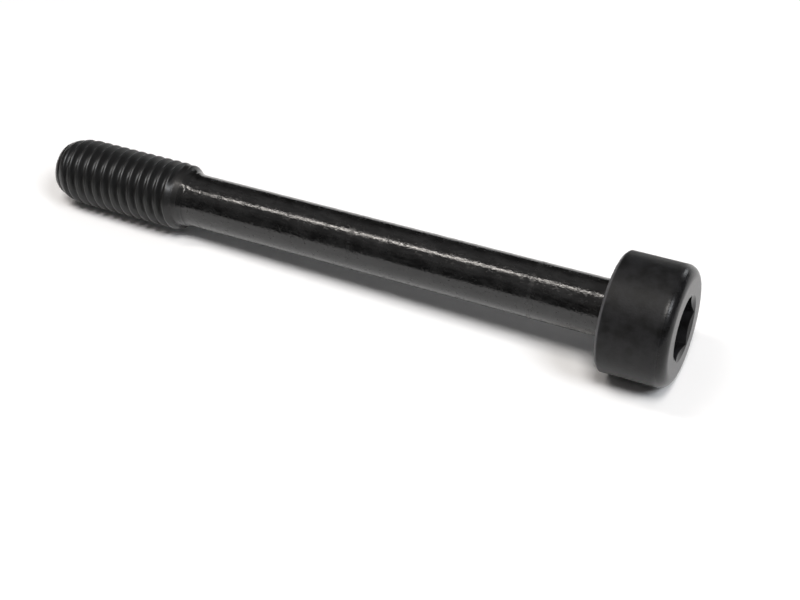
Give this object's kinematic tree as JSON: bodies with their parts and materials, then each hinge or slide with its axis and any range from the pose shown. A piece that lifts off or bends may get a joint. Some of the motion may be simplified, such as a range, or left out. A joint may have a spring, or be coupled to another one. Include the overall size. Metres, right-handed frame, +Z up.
{
  "type": "hex socket cap screw",
  "caption": "Black steel cap screw with a cylindrical head, a blind hexagon socket, a slim plain shank and a short right-hand thread at its end.",
  "frame": {"origin": "on the surface that the screw lies on, under the middle of its bounding box", "axes": "+X from the threaded tip to the head, rising by 2.15 degrees along the screw because the head is thicker than the thread; +Z up"},
  "size_m": [0.0776, 0.013, 0.0132],
  "materials": {
    "black_steel": "satin black oxide"
  },
  "bodies": {
    "root": {"cap_screw": "black_steel"}
  },
  "joints": []
}
